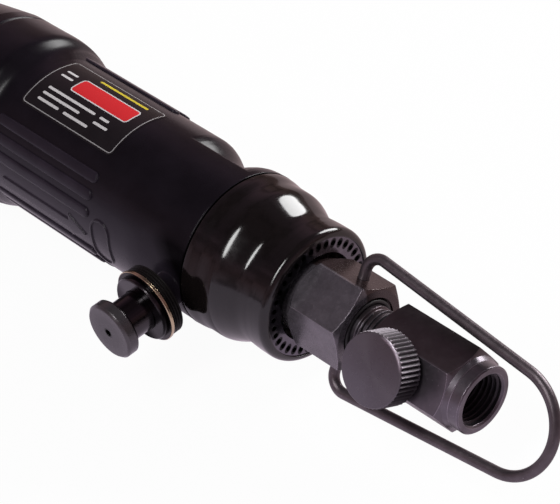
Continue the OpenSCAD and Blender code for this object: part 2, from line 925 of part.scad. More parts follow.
module anvil() {
    x_flange = x_bush0 - 0.2;
    color("#767472")
        difference() {
            union() {
                turned([[0, x_anvil], [4.6, x_anvil], [5, x_anvil + 0.4], [5, x_anvil + 2],
                    [7.2, x_anvil + 2.6], [7.2, x_cage_front - 1.5], [anvil_r, x_cage_front - 0.7],
                    [anvil_r, x_flange - 2.6],
                    [anvil_r + 2.4, x_flange - 2.6], [anvil_r + 2.4, x_flange], [anvil_r, x_flange],
                    [anvil_r, x_nose + 1.2], [nose_shank_r, x_nose + 2], [nose_shank_r, x_groove],
                    [nose_shank_r - 0.6, x_groove], [nose_shank_r - 0.6, x_groove + 1],
                    [nose_shank_r, x_groove + 1], [nose_shank_r, x_tip - 0.7],
                    [nose_shank_r - 0.7, x_tip], [0, x_tip]]);
                for (side = [90, 270])
                    at_angle(side)
                        intersection() {
                            rod(hammer_in - 0.25, x_anvil + 3, x_cage_front - 2);
                            translate([x_anvil + 3, -3, 0])
                                cube([x_cage_front - x_anvil - 5, 6, 12]);
                        }
            }
            hex_bar(socket_af, x_tip - socket_len, x_tip + 1, 30);
            turned([[0, x_tip - 0.7], [socket_af / 2, x_tip - 0.7], [socket_af / 2 + 1, x_tip + 0.3],
                [0, x_tip + 0.3]]);
            stud(2.26, x_ball, 2.4, 10);
        }
}

module bit_ball() {
    color("#c9c8c4")
        translate([x_ball, 0, nose_shank_r - 2.25])
            sphere(r = 2.2, $fn = 36);
}

module collar_clip() {
    color("#55534f")
        tube(nose_shank_r - 0.58, nose_shank_r + 1.6, x_groove + 0.02, x_groove + 0.98);
}

module bit_sleeve() {
    x0 = x_nose + 5;
    x1 = x0 + sleeve_len;
    bore = nose_shank_r + 0.07;
    color("#4a484c")
        turned([[bore, x0], [sleeve_r - 1, x0], [sleeve_r, x0 + 1], [sleeve_r, x0 + 4],
            [sleeve_r - 0.8, x0 + 5], [sleeve_r - 0.8, x0 + 6], [sleeve_r, x0 + 7], [sleeve_r, x0 + 9],
            [sleeve_r - 0.8, x0 + 10],
            [sleeve_r - 0.8, x0 + 11], [sleeve_r, x0 + 12], [sleeve_r, x1 - 1.2], [sleeve_r - 0.8, x1],
            [bore + 1.75, x1], [bore + 1.75, x_ball + 5], [bore, x_ball + 5], [bore, x_ball - 1.6],
            [bore + 1.1, x_ball - 2.7], [bore + 1.1, x_ball - 6.2], [bore, x_ball - 7.2]]);
}

module sleeve_spring() {
    color("#a5a29c")
        coil(nose_shank_r + 0.85, 0.45, x_ball + 5.05, x_groove - 0.03, 4);
}

motor_housing();
rear_cap();
exhaust_ring();
muffler();
inlet_bushing();
inlet_oring();
inlet_screen();
regulator_body();
regulator_oring();
reverse_collar();
reverse_washer();
reverse_flange();
throttle_seat();
rear_end_plate();
front_end_plate();
motor_cylinder();
cylinder_dowel();
rear_bearing_outer();
front_bearing_outer();
hammer_case();
case_oring();
nose_bushing();
nose_seal();
rotor();
vanes();
rear_bearing_inner();
rear_bearing_balls();
front_bearing_inner();
front_bearing_balls();
hammer_cage();
hammers();
hammer_pins();
push_rod();
throttle_valve();
thrust_button();
throttle_spring();
anvil();
bit_ball();
collar_clip();
bit_sleeve();
sleeve_spring();
reverse_spool();
spool_orings();
spool_end();
regulator_knob();
knob_oring();
knob_clip();
hanger_bail();
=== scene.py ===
"""Dresses a straight reversible air screwdriver: finishes, threads, springs, plate and studio."""

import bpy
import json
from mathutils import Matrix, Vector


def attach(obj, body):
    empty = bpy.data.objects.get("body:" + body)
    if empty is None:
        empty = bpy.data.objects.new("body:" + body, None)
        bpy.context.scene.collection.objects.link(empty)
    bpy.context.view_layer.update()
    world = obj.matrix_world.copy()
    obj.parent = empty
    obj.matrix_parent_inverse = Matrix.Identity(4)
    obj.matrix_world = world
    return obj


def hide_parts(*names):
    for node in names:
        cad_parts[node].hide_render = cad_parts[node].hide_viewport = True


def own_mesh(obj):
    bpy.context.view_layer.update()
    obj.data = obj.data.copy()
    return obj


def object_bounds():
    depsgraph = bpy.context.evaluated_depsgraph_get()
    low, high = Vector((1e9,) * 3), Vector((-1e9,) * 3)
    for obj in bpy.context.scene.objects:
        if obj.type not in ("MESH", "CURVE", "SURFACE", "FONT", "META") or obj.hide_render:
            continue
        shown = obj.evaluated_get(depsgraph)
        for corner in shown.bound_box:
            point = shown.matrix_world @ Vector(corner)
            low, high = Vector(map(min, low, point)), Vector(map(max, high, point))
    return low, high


bl_info = {
    "name": "Air Screwdriver Dressing",
    "version": (1, 0, 0),
    "blender": (4, 5, 0),
    "location": "3D View > Sidebar > Air Screwdriver",
    "description": "Finishes, threads, springs, plate and studio of a straight reversible air screwdriver",
    "category": "Object",
}

import json
import math

import bpy
from bpy.props import FloatProperty, FloatVectorProperty, IntProperty, PointerProperty
from mathutils import Matrix, Vector

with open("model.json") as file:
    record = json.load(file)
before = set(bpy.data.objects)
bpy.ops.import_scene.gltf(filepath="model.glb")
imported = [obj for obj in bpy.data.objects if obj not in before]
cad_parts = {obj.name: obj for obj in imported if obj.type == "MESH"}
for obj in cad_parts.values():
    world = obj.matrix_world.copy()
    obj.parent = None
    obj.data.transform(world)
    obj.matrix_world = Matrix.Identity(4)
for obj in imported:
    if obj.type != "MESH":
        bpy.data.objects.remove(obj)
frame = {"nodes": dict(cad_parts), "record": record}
CAD_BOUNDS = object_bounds()

MM = 0.001

# the flow knob's axis, across the regulator, 60 degrees round from the top
KNOB_TURN = math.radians(60)
KNOB_AXIS = Vector((0, math.sin(KNOB_TURN), math.cos(KNOB_TURN)))
KNOB_STATION = 19.9 * MM

# the knob's knurl: its two ends over the tool's axis, its radii, and the pitch of the turning marks
KNURL_BACK = 10.9 * MM
KNURL_FRONT = 17.0 * MM
KNURL_INNER = 8.3 * MM
KNURL_ROOT = 8.45 * MM
KNURL_TIP = 9.0 * MM
TURNING_PITCH = 0.32 * MM

# stations along the tool that the finishes follow
HEX_START = 4.4 * MM
WAIST_REAR = 57 * MM
WAIST_FRONT = 67 * MM
CAP_TAPER = 66.8 * MM
BUTTON_STATION = 83.4 * MM
BARREL_FOOT = 156 * MM

# heights over the tool's axis along the reverse button
WASHER_LOW = 28.1 * MM
WASHER_HIGH = 28.9 * MM
GUIDE_BACK = 29.0 * MM
GUIDE_FACE = 30.6 * MM
HEAD_BACK = 37.6 * MM

# holes of the exhaust ring, and half the size of the painted shade round each
HOLE_COUNT = 36
HOLE_CIRCLE = 14.2 * MM
MOUTH_WIDE = 0.95 * MM
MOUTH_TALL = 1.35 * MM

# corners of a thread's section, and steps in one turn of a helix
THREAD_CORNERS = 3
HELIX_STEPS = 48

# corner of the plate, and its pale rules: middle along, middle across and half length in millimetres
PLATE_CORNER = 1.6 * MM
PLATE_RULES = (
    (4.5, 3.0, 9.0), (6.5, 5.0, 7.0), (-8.5, 5.0, 2.6), (12.4, -2.2, 2.2),
    (-8.0, 3.0, 1.7), (9.5, 7.0, 4.0), (12.6, -4.3, 2.0), (-1.0, 7.0, 4.6),
)

# short names of the Principled shader's inputs
SOCKETS = {
    "base": "Base Color",
    "metal": "Metallic",
    "rough": "Roughness",
    "gloss": "Specular IOR Level",
    "normal": "Normal",
}


class ScrewdriverSizes(bpy.types.PropertyGroup):
    """Sizes of what is added to the frame."""

    thread_pitch: FloatProperty(
        name="Thread pitch", description="Pitch of the inlet's pipe thread", default=1.337 * MM,
        unit="LENGTH")
    thread_start: FloatProperty(
        name="Thread start", description="First turn of the inlet's thread", default=1.2 * MM,
        unit="LENGTH")
    inlet_wall: FloatProperty(
        name="Inlet wall", description="Wall radius of the inlet's bore", default=6.58 * MM, unit="LENGTH")
    inlet_depth: FloatProperty(
        name="Inlet depth", description="Depth of the inlet's thread", default=11.4 * MM, unit="LENGTH")
    neck_root: FloatProperty(
        name="Neck radius", description="Radius of the regulator's neck under its thread", default=6.0 * MM,
        unit="LENGTH")
    neck_start: FloatProperty(
        name="Neck start", description="Where the neck leaves the regulator", default=28.95 * MM,
        unit="LENGTH")
    neck_turns: IntProperty(name="Neck turns", description="Thread turns on the neck in view", default=4)
    ridge: FloatProperty(
        name="Thread ridge", description="Height of a thread ridge", default=0.5 * MM, unit="LENGTH")
    chamfer_start: FloatProperty(
        name="Chamfer start", description="Where the chamfer leaves the regulator's round end",
        default=3.0 * MM, unit="LENGTH")
    chamfer_end: FloatProperty(
        name="Chamfer end", description="Where the chamfer meets the regulator's hexagon",
        default=4.47 * MM, unit="LENGTH")
    chamfer_small: FloatProperty(
        name="Chamfer small radius", description="Radius of the chamfer at the round end",
        default=8.69 * MM, unit="LENGTH")
    chamfer_large: FloatProperty(
        name="Chamfer large radius", description="Radius of the chamfer at the hexagon",
        default=9.31 * MM, unit="LENGTH")
    chamfer_root: FloatProperty(
        name="Chamfer root", description="Inner radius of the chamfer, inside the regulator",
        default=8.4 * MM, unit="LENGTH")
    grip_radius: FloatProperty(
        name="Grip radius", description="Outside radius of the grip", default=20.7 * MM, unit="LENGTH")
    rib_start: FloatProperty(
        name="Rib start", description="Rear end of the grip's ribs", default=113.3 * MM, unit="LENGTH")
    rib_stagger: FloatProperty(
        name="Rib stagger", description="How much further forward the far ribs start", default=3.3 * MM,
        unit="LENGTH")
    rib_end: FloatProperty(
        name="Rib end", description="Front end of the grip's ribs", default=150.5 * MM, unit="LENGTH")
    rib_width: FloatProperty(
        name="Rib width", description="Width of a rib's crown", default=3.0 * MM, unit="LENGTH")
    rib_height: FloatProperty(
        name="Rib height", description="Height of a rib's crown", default=0.63 * MM, unit="LENGTH")
    seam_station: FloatProperty(
        name="Seam", description="Where the cap meets the body", default=79.42 * MM, unit="LENGTH")
    seam_radius: FloatProperty(
        name="Seam radius", description="Middle radius of the gasket in the seam", default=20.52 * MM,
        unit="LENGTH")
    seam_section: FloatProperty(
        name="Seam section", description="Radius of the gasket's section", default=0.26 * MM, unit="LENGTH")
    knob_top: FloatProperty(
        name="Knob top", description="Height of the flow knob's face over the axis", default=17.45 * MM,
        unit="LENGTH")
    knob_face: FloatProperty(
        name="Knob face", description="Radius of the flow knob's smooth face", default=8.78 * MM,
        unit="LENGTH")
    plate_start: FloatProperty(
        name="Plate start", description="Rear end of the plate", default=113.6 * MM, unit="LENGTH")
    plate_length: FloatProperty(
        name="Plate length", description="Length of the plate along the grip", default=35.2 * MM,
        unit="LENGTH")
    plate_width: FloatProperty(
        name="Plate width", description="Width of the plate round the grip", default=20.6 * MM,
        unit="LENGTH")
    plate_thickness: FloatProperty(
        name="Plate thickness", description="Thickness of the plate", default=0.08 * MM, unit="LENGTH")


def colour(label, words, value):
    """A colour that a user may change."""
    return FloatVectorProperty(
        name=label, description=words, default=value, size=3, subtype="COLOR", min=0, max=1)


class ScrewdriverColours(bpy.types.PropertyGroup):
    """Colours of the finishes, linear."""

    body: colour("Body", "Satin black coating of the body", (0.0075, 0.0058, 0.0085))
    cap: colour("Cap", "Polished black of the exhaust cap", (0.006, 0.0045, 0.0045))
    dark_steel: colour("Dark steel", "Black oxide on the steel pieces", (0.14, 0.124, 0.142))
    wire: colour("Hanger wire", "Dull black of the hanger", (0.112, 0.093, 0.103))
    button: colour("Reverse button", "Polished black of the reverse button", (0.066, 0.061, 0.065))
    collar: colour("Button collar", "Dark ridges behind the reverse button", (0.02, 0.017, 0.017))
    exhaust: colour("Exhaust ring", "Grey of the exhaust ring", (0.128, 0.118, 0.14))
    bronze: colour("Bronze", "Thin ring under the reverse button", (0.53, 0.435, 0.29))
    plate_field: colour("Plate field", "Field of the plate", (0.006, 0.005, 0.006))
    plate_bar: colour("Plate bar", "Bar on the plate", (0.62, 0.018, 0.022))
    plate_rule: colour("Plate rules", "Pale rules and border of the plate", (0.62, 0.6, 0.6))
    plate_stripe: colour("Plate stripe", "Thin stripe on the plate", (0.62, 0.5, 0.03))


def sizes():
    """The sizes as they are set in the scene."""
    return bpy.context.scene.screwdriver_sizes


def tint_of(name):
    """A finish's colour as it is set in the scene."""
    return tuple(getattr(bpy.context.scene.screwdriver_colours, name))


# Node helpers


def new_finish(name):
    """A material with one Principled shader; returns material, tree and shader."""
    material = bpy.data.materials.new(name)
    material.use_nodes = True
    tree = material.node_tree
    tree.nodes.clear()
    output = tree.nodes.new("ShaderNodeOutputMaterial")
    shader = tree.nodes.new("ShaderNodeBsdfPrincipled")
    tree.links.new(shader.outputs["BSDF"], output.inputs["Surface"])
    return material, tree, shader


def place(tree):
    """Object coordinates of the piece."""
    return tree.nodes.new("ShaderNodeTexCoord").outputs["Object"]


def feed(tree, value, socket):
    """Links a socket, or sets a number or colour."""
    if isinstance(value, bpy.types.NodeSocket):
        tree.links.new(value, socket)
    else:
        socket.default_value = value


def give(tree, shader, **values):
    """Feeds the shader's inputs by their short names."""
    for key, value in values.items():
        feed(tree, value, shader.inputs[SOCKETS[key]])


def calc(tree, operation, a, b=0.0):
    """A Math node."""
    node = tree.nodes.new("ShaderNodeMath")
    node.operation = operation
    feed(tree, a, node.inputs[0])
    feed(tree, b, node.inputs[1])
    return node.outputs[0]


def product(tree, first, *others):
    """The product of two or more values."""
    for value in others:
        first = calc(tree, "MULTIPLY", first, value)
    return first


def square_sum(tree, a, b):
    """The sum of two squares."""
    return calc(tree, "ADD", *[calc(tree, "POWER", value, 2.0) for value in (a, b)])


def length(tree, a, b):
    """The long side over two sides at right angles."""
    return calc(tree, "SQRT", square_sum(tree, a, b))


def noise(tree, where, grain, detail=3.0):
    """Noise whose grain is a length in metres."""
    node = tree.nodes.new("ShaderNodeTexNoise")
    node.inputs["Scale"].default_value = 1 / grain
    node.inputs["Detail"].default_value = detail
    node.inputs["Roughness"].default_value = 0.55
    tree.links.new(where, node.inputs["Vector"])
    return node.outputs["Fac"]


def spread(tree, value, low, high, to_low, to_high):
    """A Map Range node, clamped."""
    node = tree.nodes.new("ShaderNodeMapRange")
    node.inputs["From Min"].default_value = low
    node.inputs["From Max"].default_value = high
    node.inputs["To Min"].default_value = to_low
    node.inputs["To Max"].default_value = to_high
    tree.links.new(value, node.inputs["Value"])
    return node.outputs["Result"]


def mottled(tree, pattern, low, high):
    """A noise pattern's middle range spread between two values."""
    return spread(tree, pattern, 0.3, 0.7, low, high)


def mix_colour(tree, factor, a, b):
    """A colour mix."""
    node = tree.nodes.new("ShaderNodeMix")
    node.data_type = "RGBA"
    feed(tree, factor, node.inputs["Factor"])
    for value, socket in ((a, node.inputs["A"]), (b, node.inputs["B"])):
        feed(tree, value if isinstance(value, bpy.types.NodeSocket) else (*value, 1.0), socket)
    return node.outputs["Result"]


def ramp(tree, value, stops):
    """A colour ramp from stops of place and colour."""
    node = tree.nodes.new("ShaderNodeValToRGB")
    tree.links.new(value, node.inputs["Fac"])
    marks = node.color_ramp.elements
    while len(marks) < len(stops):
        marks.new(1.0)
    for mark, (where, tint) in zip(marks, stops):
        mark.position = where
        mark.color = (*tint, 1.0)
    return node.outputs["Color"]


def band(tree, value, low, high):
    """1 where a value lies between two limits."""
    above = calc(tree, "GREATER_THAN", value, low)
    return product(tree, above, calc(tree, "LESS_THAN", value, high))


def axes(tree, where):
    """The three coordinates of a place."""
    node = tree.nodes.new("ShaderNodeSeparateXYZ")
    tree.links.new(where, node.inputs[0])
    return node.outputs["X"], node.outputs["Y"], node.outputs["Z"]


def turn_round(tree, y, z):
    """The angle round the tool's axis, from the top towards the reverse button."""
    return calc(tree, "ARCTAN2", y, z)


def vector(tree, operation, first, second=(0, 0, 0)):
    """A Vector Math node."""
    node = tree.nodes.new("ShaderNodeVectorMath")
    node.operation = operation
    feed(tree, first, node.inputs[0])
    feed(tree, second, node.inputs[1])
    return node.outputs["Vector"]


def combine(tree, **parts):
    """A vector from the coordinates that are given."""
    node = tree.nodes.new("ShaderNodeCombineXYZ")
    for axis, value in parts.items():
        tree.links.new(value, node.inputs[axis])
    return node.outputs["Vector"]


def leaned(tree, normal, **parts):
    """A normal that leans by the coordinates that are given."""
    return vector(tree, "NORMALIZE", vector(tree, "ADD", normal, combine(tree, **parts)))


def mix_vector(tree, factor, first, second):
    """A vector mix."""
    node = tree.nodes.new("ShaderNodeMix")
    node.data_type = "VECTOR"
    tree.links.new(factor, node.inputs["Factor"])
    ends = [socket for socket in node.inputs if socket.type == "VECTOR" and socket.name in ("A", "B")]
    tree.links.new(first, ends[0])
    tree.links.new(second, ends[1])
    return next(socket for socket in node.outputs if socket.type == "VECTOR")


def bump(tree, height, depth, strength, normal=None):
    """A Bump node whose depth is a length in metres."""
    node = tree.nodes.new("ShaderNodeBump")
    node.inputs["Strength"].default_value = strength
    node.inputs["Distance"].default_value = depth
    tree.links.new(height, node.inputs["Height"])
    if normal is not None:
        tree.links.new(normal, node.inputs["Normal"])
    return node.outputs["Normal"]


def soft_edges(tree, radius):
    """Normals that round the sharp edges by a radius in metres."""
    node = tree.nodes.new("ShaderNodeBevel")
    node.samples = 6
    node.inputs["Radius"].default_value = radius
    return node.outputs["Normal"]


def edge_mask(tree, edge_normal):
    """Near 1 along sharp edges, 0 on the faces."""
    true_normal = tree.nodes.new("ShaderNodeNewGeometry").outputs["Normal"]
    dot = tree.nodes.new("ShaderNodeVectorMath")
    dot.operation = "DOT_PRODUCT"
    tree.links.new(edge_normal, dot.inputs[0])
    tree.links.new(true_normal, dot.inputs[1])
    return spread(tree, dot.outputs["Value"], 0.995, 0.86, 0.0, 1.0)


def lighter(tint, gain):
    """A colour made lighter or darker."""
    return tuple(min(1.0, c * gain) for c in tint)


def turned_normal(tree, where, normal, middle, half, steep, power, reach):
    """Normal of a smooth conical step round the tool's axis, in place of the given one near it."""
    x, y, z = axes(tree, where)
    step = calc(tree, "ABSOLUTE", calc(tree, "DIVIDE", calc(tree, "SUBTRACT", x, middle), half))
    slope = calc(tree, "POWER", math.e, product(tree, calc(tree, "POWER", step, power), -1.0))
    outward = vector(tree, "NORMALIZE", combine(tree, Y=y, Z=z))
    leaning = leaned(tree, outward, X=product(tree, slope, -steep))
    return mix_vector(tree, calc(tree, "LESS_THAN", step, reach), normal, leaning)


def eased_flank(tree, where, normal, start, end, turn_start):
    """Flattens the flank below the reverse button's height, between two stations."""
    x, y, z = axes(tree, where)
    turn_end = turn_start + math.radians(14)
    low = spread(tree, turn_round(tree, y, z), turn_start, turn_end, 0.0, 0.21)
    along = spread(tree, x, end, end - 6 * MM, 0.0, 1.0)
    amount = product(tree, low, along, calc(tree, "GREATER_THAN", x, start))
    return leaned(tree, normal, Z=amount)


# Finishes


def body_coating(name, gain=1.0):
    """Satin black coating with a fine leathery grain, painted light on the flank on the button's side and a
    painted shadow beside the button's boss; a gain over 1 makes it lighter.
    """
    material, tree, shader = new_finish(name)
    where = place(tree)
    x, y, z = axes(tree, where)
    tint = lighter(tint_of("body"), gain)
    plain = gain == 1.0
    clouds = noise(tree, where, 9 * MM)
    edges = soft_edges(tree, 0.7 * MM)
    cloudy = spread(tree, clouds, 0.35, 0.7, 0.0, 1.0)
    base = mix_colour(tree, cloudy, lighter(tint, 0.85), lighter(tint, 1.25))
    # painted light: the flank on the button's side, 45 to 85 degrees round from the top, is made lighter
    turn = turn_round(tree, y, z)
    painted_light_side = spread(tree, turn, math.radians(45), math.radians(85), 0.0, 0.8 if plain else 0.1)
    painted_light_base = mix_colour(tree, painted_light_side, base, lighter(tint, 4.0))
    rubbed = product(tree, edge_mask(tree, edges), spread(tree, clouds, 0.4, 0.65, 0.15, 0.7))
    coat = mix_colour(tree, rubbed, painted_light_base, lighter(tint, 5.0))

    # painted shadow beside the button's boss, on its upper and rear side, darker and less glossy
    across = calc(tree, "SUBTRACT", x, BUTTON_STATION)
    near = spread(tree, length(tree, across, z), 15 * MM, 11.5 * MM, 0.0, 1.0)
    boss_shadow = product(tree, near, spread(tree, calc(tree, "SUBTRACT", z, across), 2 * MM, 9 * MM, 0.0, 1.0))

    normal = edges
    if plain:
        normal = turned_normal(
            tree, where, normal, BARREL_FOOT, half=2.7 * MM, steep=0.62, power=2.4, reach=2.3)
        normal = eased_flank(tree, where, normal, start=79 * MM, end=100 * MM, turn_start=math.radians(60))
    give(
        tree, shader,
        base=mix_colour(tree, boss_shadow, coat, lighter(tint, 0.3)),
        rough=mottled(tree, noise(tree, where, 2.5 * MM), 0.21, 0.27),
        gloss=spread(tree, boss_shadow, 0.0, 1.0, 0.16, 0.04),
        normal=bump(tree, noise(tree, where, 0.3 * MM, 2.0), 0.012 * MM, 0.5, normal))
    return material


def cap_polish():
    """Deep polished black with faint swirl marks."""
    material, tree, shader = new_finish("cap_polish")
    where = place(tree)
    x, _, _ = axes(tree, where)
    tint = tint_of("cap")
    normal = soft_edges(tree, 0.25 * MM)
    normal = turned_normal(tree, where, normal, CAP_TAPER, half=3.95 * MM, steep=0.46, power=3.0, reach=1.85)
    normal = eased_flank(tree, where, normal, start=70 * MM, end=90 * MM, turn_start=math.radians(53))
    rear = spread(tree, x, WAIST_REAR, WAIST_REAR + 3 * MM, 0.0, 1.0)
    front = spread(tree, x, WAIST_FRONT, WAIST_FRONT - 3 * MM, 0.0, -0.12)
    normal = leaned(tree, normal, X=product(tree, rear, front))
    give(
        tree, shader,
        base=mix_colour(tree, noise(tree, where, 6 * MM), lighter(tint, 0.8), lighter(tint, 1.3)),
        rough=spread(tree, noise(tree, where, 1.2 * MM), 0.35, 0.7, 0.1, 0.14),
        normal=bump(tree, noise(tree, where, 4 * MM, 1.0), 0.004 * MM, 0.4, normal))
    return material


def oxide_specks(tree, where, tint, edges):
    """Black oxide's colour: cloudy, with tiny pale specks and rubbed edges."""
    clouds = noise(tree, where, 5 * MM)
    base = mix_colour(tree, mottled(tree, clouds, 0.0, 1.0), lighter(tint, 0.8), lighter(tint, 1.2))
    specks = spread(tree, noise(tree, where, 0.5 * MM, 2.0), 0.71, 0.76, 0.0, 0.7)
    spotted = mix_colour(tree, specks, base, lighter(tint, 3.2))
    rubbed = product(tree, edge_mask(tree, edges), spread(tree, clouds, 0.35, 0.6, 0.3, 1.0))
    return mix_colour(tree, rubbed, spotted, lighter(tint, 4.0))


def black_oxide(name, tint, low, high, metal=0.72, gloss=0.5, shade_amount=0.0, limit=-2):
    """Black oxide on machined steel, between two roughnesses, with painted shade in brown on the far side up
    to an angle.
    """
    material, tree, shader = new_finish(name)
    where = place(tree)
    x, y, z = axes(tree, where)
    edges = soft_edges(tree, 0.2 * MM)
    # painted shade: the far side, from the hexagon on, is darker and browner
    far = spread(tree, turn_round(tree, y, z), math.radians(limit), math.radians(limit - 3), 0.0, shade_amount)
    painted_shade = product(tree, far, spread(tree, x, HEX_START - 0.2 * MM, HEX_START + 0.6 * MM, 0.0, 1.0))
    shade_brown = tuple(c * share for c, share in zip(tint, (0.35, 0.25, 0.22)))
    give(
        tree, shader,
        base=mix_colour(tree, painted_shade, oxide_specks(tree, where, tint, edges), shade_brown),
        metal=metal,
        gloss=gloss,
        rough=mottled(tree, noise(tree, where, 1.1 * MM), low, high),
        normal=bump(tree, noise(tree, where, 0.22 * MM, 2.0), 0.008 * MM, 0.5, edges))
    return material


def spun_oxide():
    """Black oxide with the fine rings of turning, centred on the flow knob's axis."""
    material, tree, shader = new_finish("spun_oxide")
    where = place(tree)
    edges = soft_edges(tree, 0.15 * MM)
    mapping = tree.nodes.new("ShaderNodeMapping")
    mapping.vector_type = "TEXTURE"
    mapping.inputs["Location"].default_value = (KNOB_STATION, 0, 0)
    mapping.inputs["Rotation"].default_value = (-KNOB_TURN, 0, 0)
    tree.links.new(where, mapping.inputs["Vector"])
    x, y, z = axes(tree, mapping.outputs["Vector"])
    radius = length(tree, x, y)
    tint = lighter(tint_of("dark_steel"), 0.84)

    # the knurl: painted shade in the grooves, and a painted highlight on the crests on one side
    outer = calc(tree, "GREATER_THAN", radius, KNURL_INNER)
    side = product(tree, band(tree, z, KNURL_BACK, KNURL_FRONT), outer)
    groove_shade = product(tree, side, spread(tree, radius, KNURL_TIP - 0.15 * MM, KNURL_ROOT, 0.0, 0.9))
    crest_highlight = product(tree, side, spread(tree, radius, KNURL_TIP - 0.2 * MM, KNURL_TIP, 0.0, 0.6))
    painted_light_side = calc(tree, "ADD", product(tree, x, -0.55), product(tree, y, -0.83))
    toward = calc(tree, "DIVIDE", painted_light_side, radius)
    crest_highlight = product(tree, crest_highlight, spread(tree, toward, 0.1, 0.8, 0.0, 1.0))
    skin = mix_colour(tree, crest_highlight, tint, lighter(tint, 2.2))

    # painted highlight on the rim of the face, on the same side
    top = calc(tree, "GREATER_THAN", z, KNURL_FRONT - 0.4 * MM)
    rim = product(tree, top, spread(tree, radius, KNURL_INNER - 0.2 * MM, KNURL_INNER, 0.0, 1.0))
    bright = product(tree, rim, spread(tree, toward, 0.82, 0.98, 0.0, 0.9))
    edged = mix_colour(tree, bright, skin, lighter(tint, 4.2))

    rings = calc(tree, "SINE", product(tree, radius, 2 * math.pi / TURNING_PITCH))
    satin = mottled(tree, noise(tree, where, 1.1 * MM), 0.26, 0.34)
    give(
        tree, shader,
        base=mix_colour(tree, groove_shade, edged, lighter(tint, 0.15)),
        metal=0.72,
        rough=calc(tree, "ADD", satin, spread(tree, side, 0.0, 1.0, 0.0, 0.16)),
        normal=bump(tree, rings, 0.004 * MM, 0.5, edges))
    arm = vector(tree, "SUBTRACT", where, (KNOB_STATION, 0, 0))
    shader.inputs["Anisotropic"].default_value = 0.7
    tree.links.new(vector(tree, "CROSS_PRODUCT", arm, KNOB_AXIS), shader.inputs["Tangent"])
    return material


def button_polish():
    """Polished black stem and guide with painted shade on the guide's lower front side, and a satin face
    with painted highlights towards and on its rim and painted shade in its countersink.
    """
    material, tree, shader = new_finish("button_black")
    where = place(tree)
    x, y, z = axes(tree, where)
    tint = tint_of("button")
    edges = soft_edges(tree, 0.5 * MM)
    across = calc(tree, "SUBTRACT", x, BUTTON_STATION)
    radius = length(tree, across, z)

    # painted highlight: the face lighter towards its rim and on its edge; painted shade in the countersink
    face_highlight = spread(tree, radius, 3.6 * MM, 6.8 * MM, 0.0, 1.0)
    face = mix_colour(tree, face_highlight, lighter(tint, 0.85), lighter(tint, 1.35))
    rim = mix_colour(tree, edge_mask(tree, edges), face, lighter(tint, 2.0))
    countersink_shade = spread(tree, radius, 1.45 * MM, 1.3 * MM, 0.0, 1.0)
    painted_light_base = mix_colour(tree, countersink_shade, rim, lighter(tint, 0.02))

    # painted shade on the guide's lower front side
    guide = band(tree, y, GUIDE_BACK, GUIDE_FACE)
    guide_shade = product(tree, guide, spread(tree, calc(tree, "ADD", across, z), -2 * MM, -5 * MM, 0.0, 0.92))
    plain = mix_colour(tree, guide_shade, lighter(tint, 0.85), lighter(tint, 0.03))

    # the guide's face is dished on its lower and front side
    dish = spread(tree, calc(tree, "SUBTRACT", across, z), -1 * MM, 5 * MM, 0.0, -75.0)
    dished = product(tree, band(tree, y, GUIDE_FACE - 0.7 * MM, GUIDE_FACE), dish)
    normal = leaned(tree, edges, X=product(tree, across, dished), Z=product(tree, z, dished))

    head = spread(tree, y, HEAD_BACK, HEAD_BACK + 0.3 * MM, 0.0, 1.0)
    grain = mottled(tree, noise(tree, where, 1.1 * MM), 0.0, 0.08)
    give(
        tree, shader,
        base=mix_colour(tree, head, plain, painted_light_base),
        metal=spread(tree, head, 0.0, 1.0, 1.0, 0.72),
        rough=calc(tree, "ADD", spread(tree, head, 0.0, 1.0, 0.16, 0.26), grain),
        normal=bump(tree, noise(tree, where, 0.22 * MM, 2.0), 0.0012 * MM, 0.4, normal))
    return material


def exhaust_satin():
    """Smooth grey pressed ring, with painted shade on one side and round its holes."""
    material, tree, shader = new_finish("exhaust_satin")
    where = place(tree)
    _, y, z = axes(tree, where)
    tint = tint_of("exhaust")
    clouds = noise(tree, where, 1.5 * MM)
    turn = turn_round(tree, y, z)
    # painted shade on the side of the ring next to the hexagon
    away = calc(tree, "ABSOLUTE", calc(tree, "SUBTRACT", turn, math.radians(52)))
    side_shade = spread(tree, away, math.radians(58), math.radians(42), 0.0, 0.93)
    # painted shade in an oval round each hole
    along = calc(tree, "DIVIDE", calc(tree, "SUBTRACT", length(tree, y, z), HOLE_CIRCLE), MOUTH_TALL)
    aside = calc(tree, "PINGPONG", turn, math.pi / HOLE_COUNT)
    oval = square_sum(tree, along, product(tree, aside, HOLE_CIRCLE / MOUTH_WIDE))
    hole_shade = spread(tree, oval, 1.1, 0.75, 0.0, 0.97)
    grey = mix_colour(tree, clouds, lighter(tint, 0.7), lighter(tint, 1.4))
    give(
        tree, shader,
        base=mix_colour(tree, calc(tree, "MAXIMUM", side_shade, hole_shade), grey, lighter(tint, 0.03)),
        metal=0.9,
        gloss=spread(tree, hole_shade, 0.0, 1.0, 0.5, 0.05),
        rough=mottled(tree, clouds, 0.14, 0.22),
        normal=bump(tree, noise(tree, where, 0.2 * MM), 0.01 * MM, 0.5, soft_edges(tree, 0.12 * MM)))
    return material


def plain_metal(name, tint, roughness):
    """Machined metal with fine marks."""
    material, tree, shader = new_finish(name)
    marks = noise(tree, place(tree), 0.4 * MM)
    give(
        tree, shader,
        base=mix_colour(tree, marks, lighter(tint, 0.8), lighter(tint, 1.15)),
        metal=1.0,
        rough=mottled(tree, marks, roughness - 0.06, roughness + 0.06),
        normal=bump(tree, marks, 0.006 * MM, 0.4, soft_edges(tree, 0.12 * MM)))
    return material


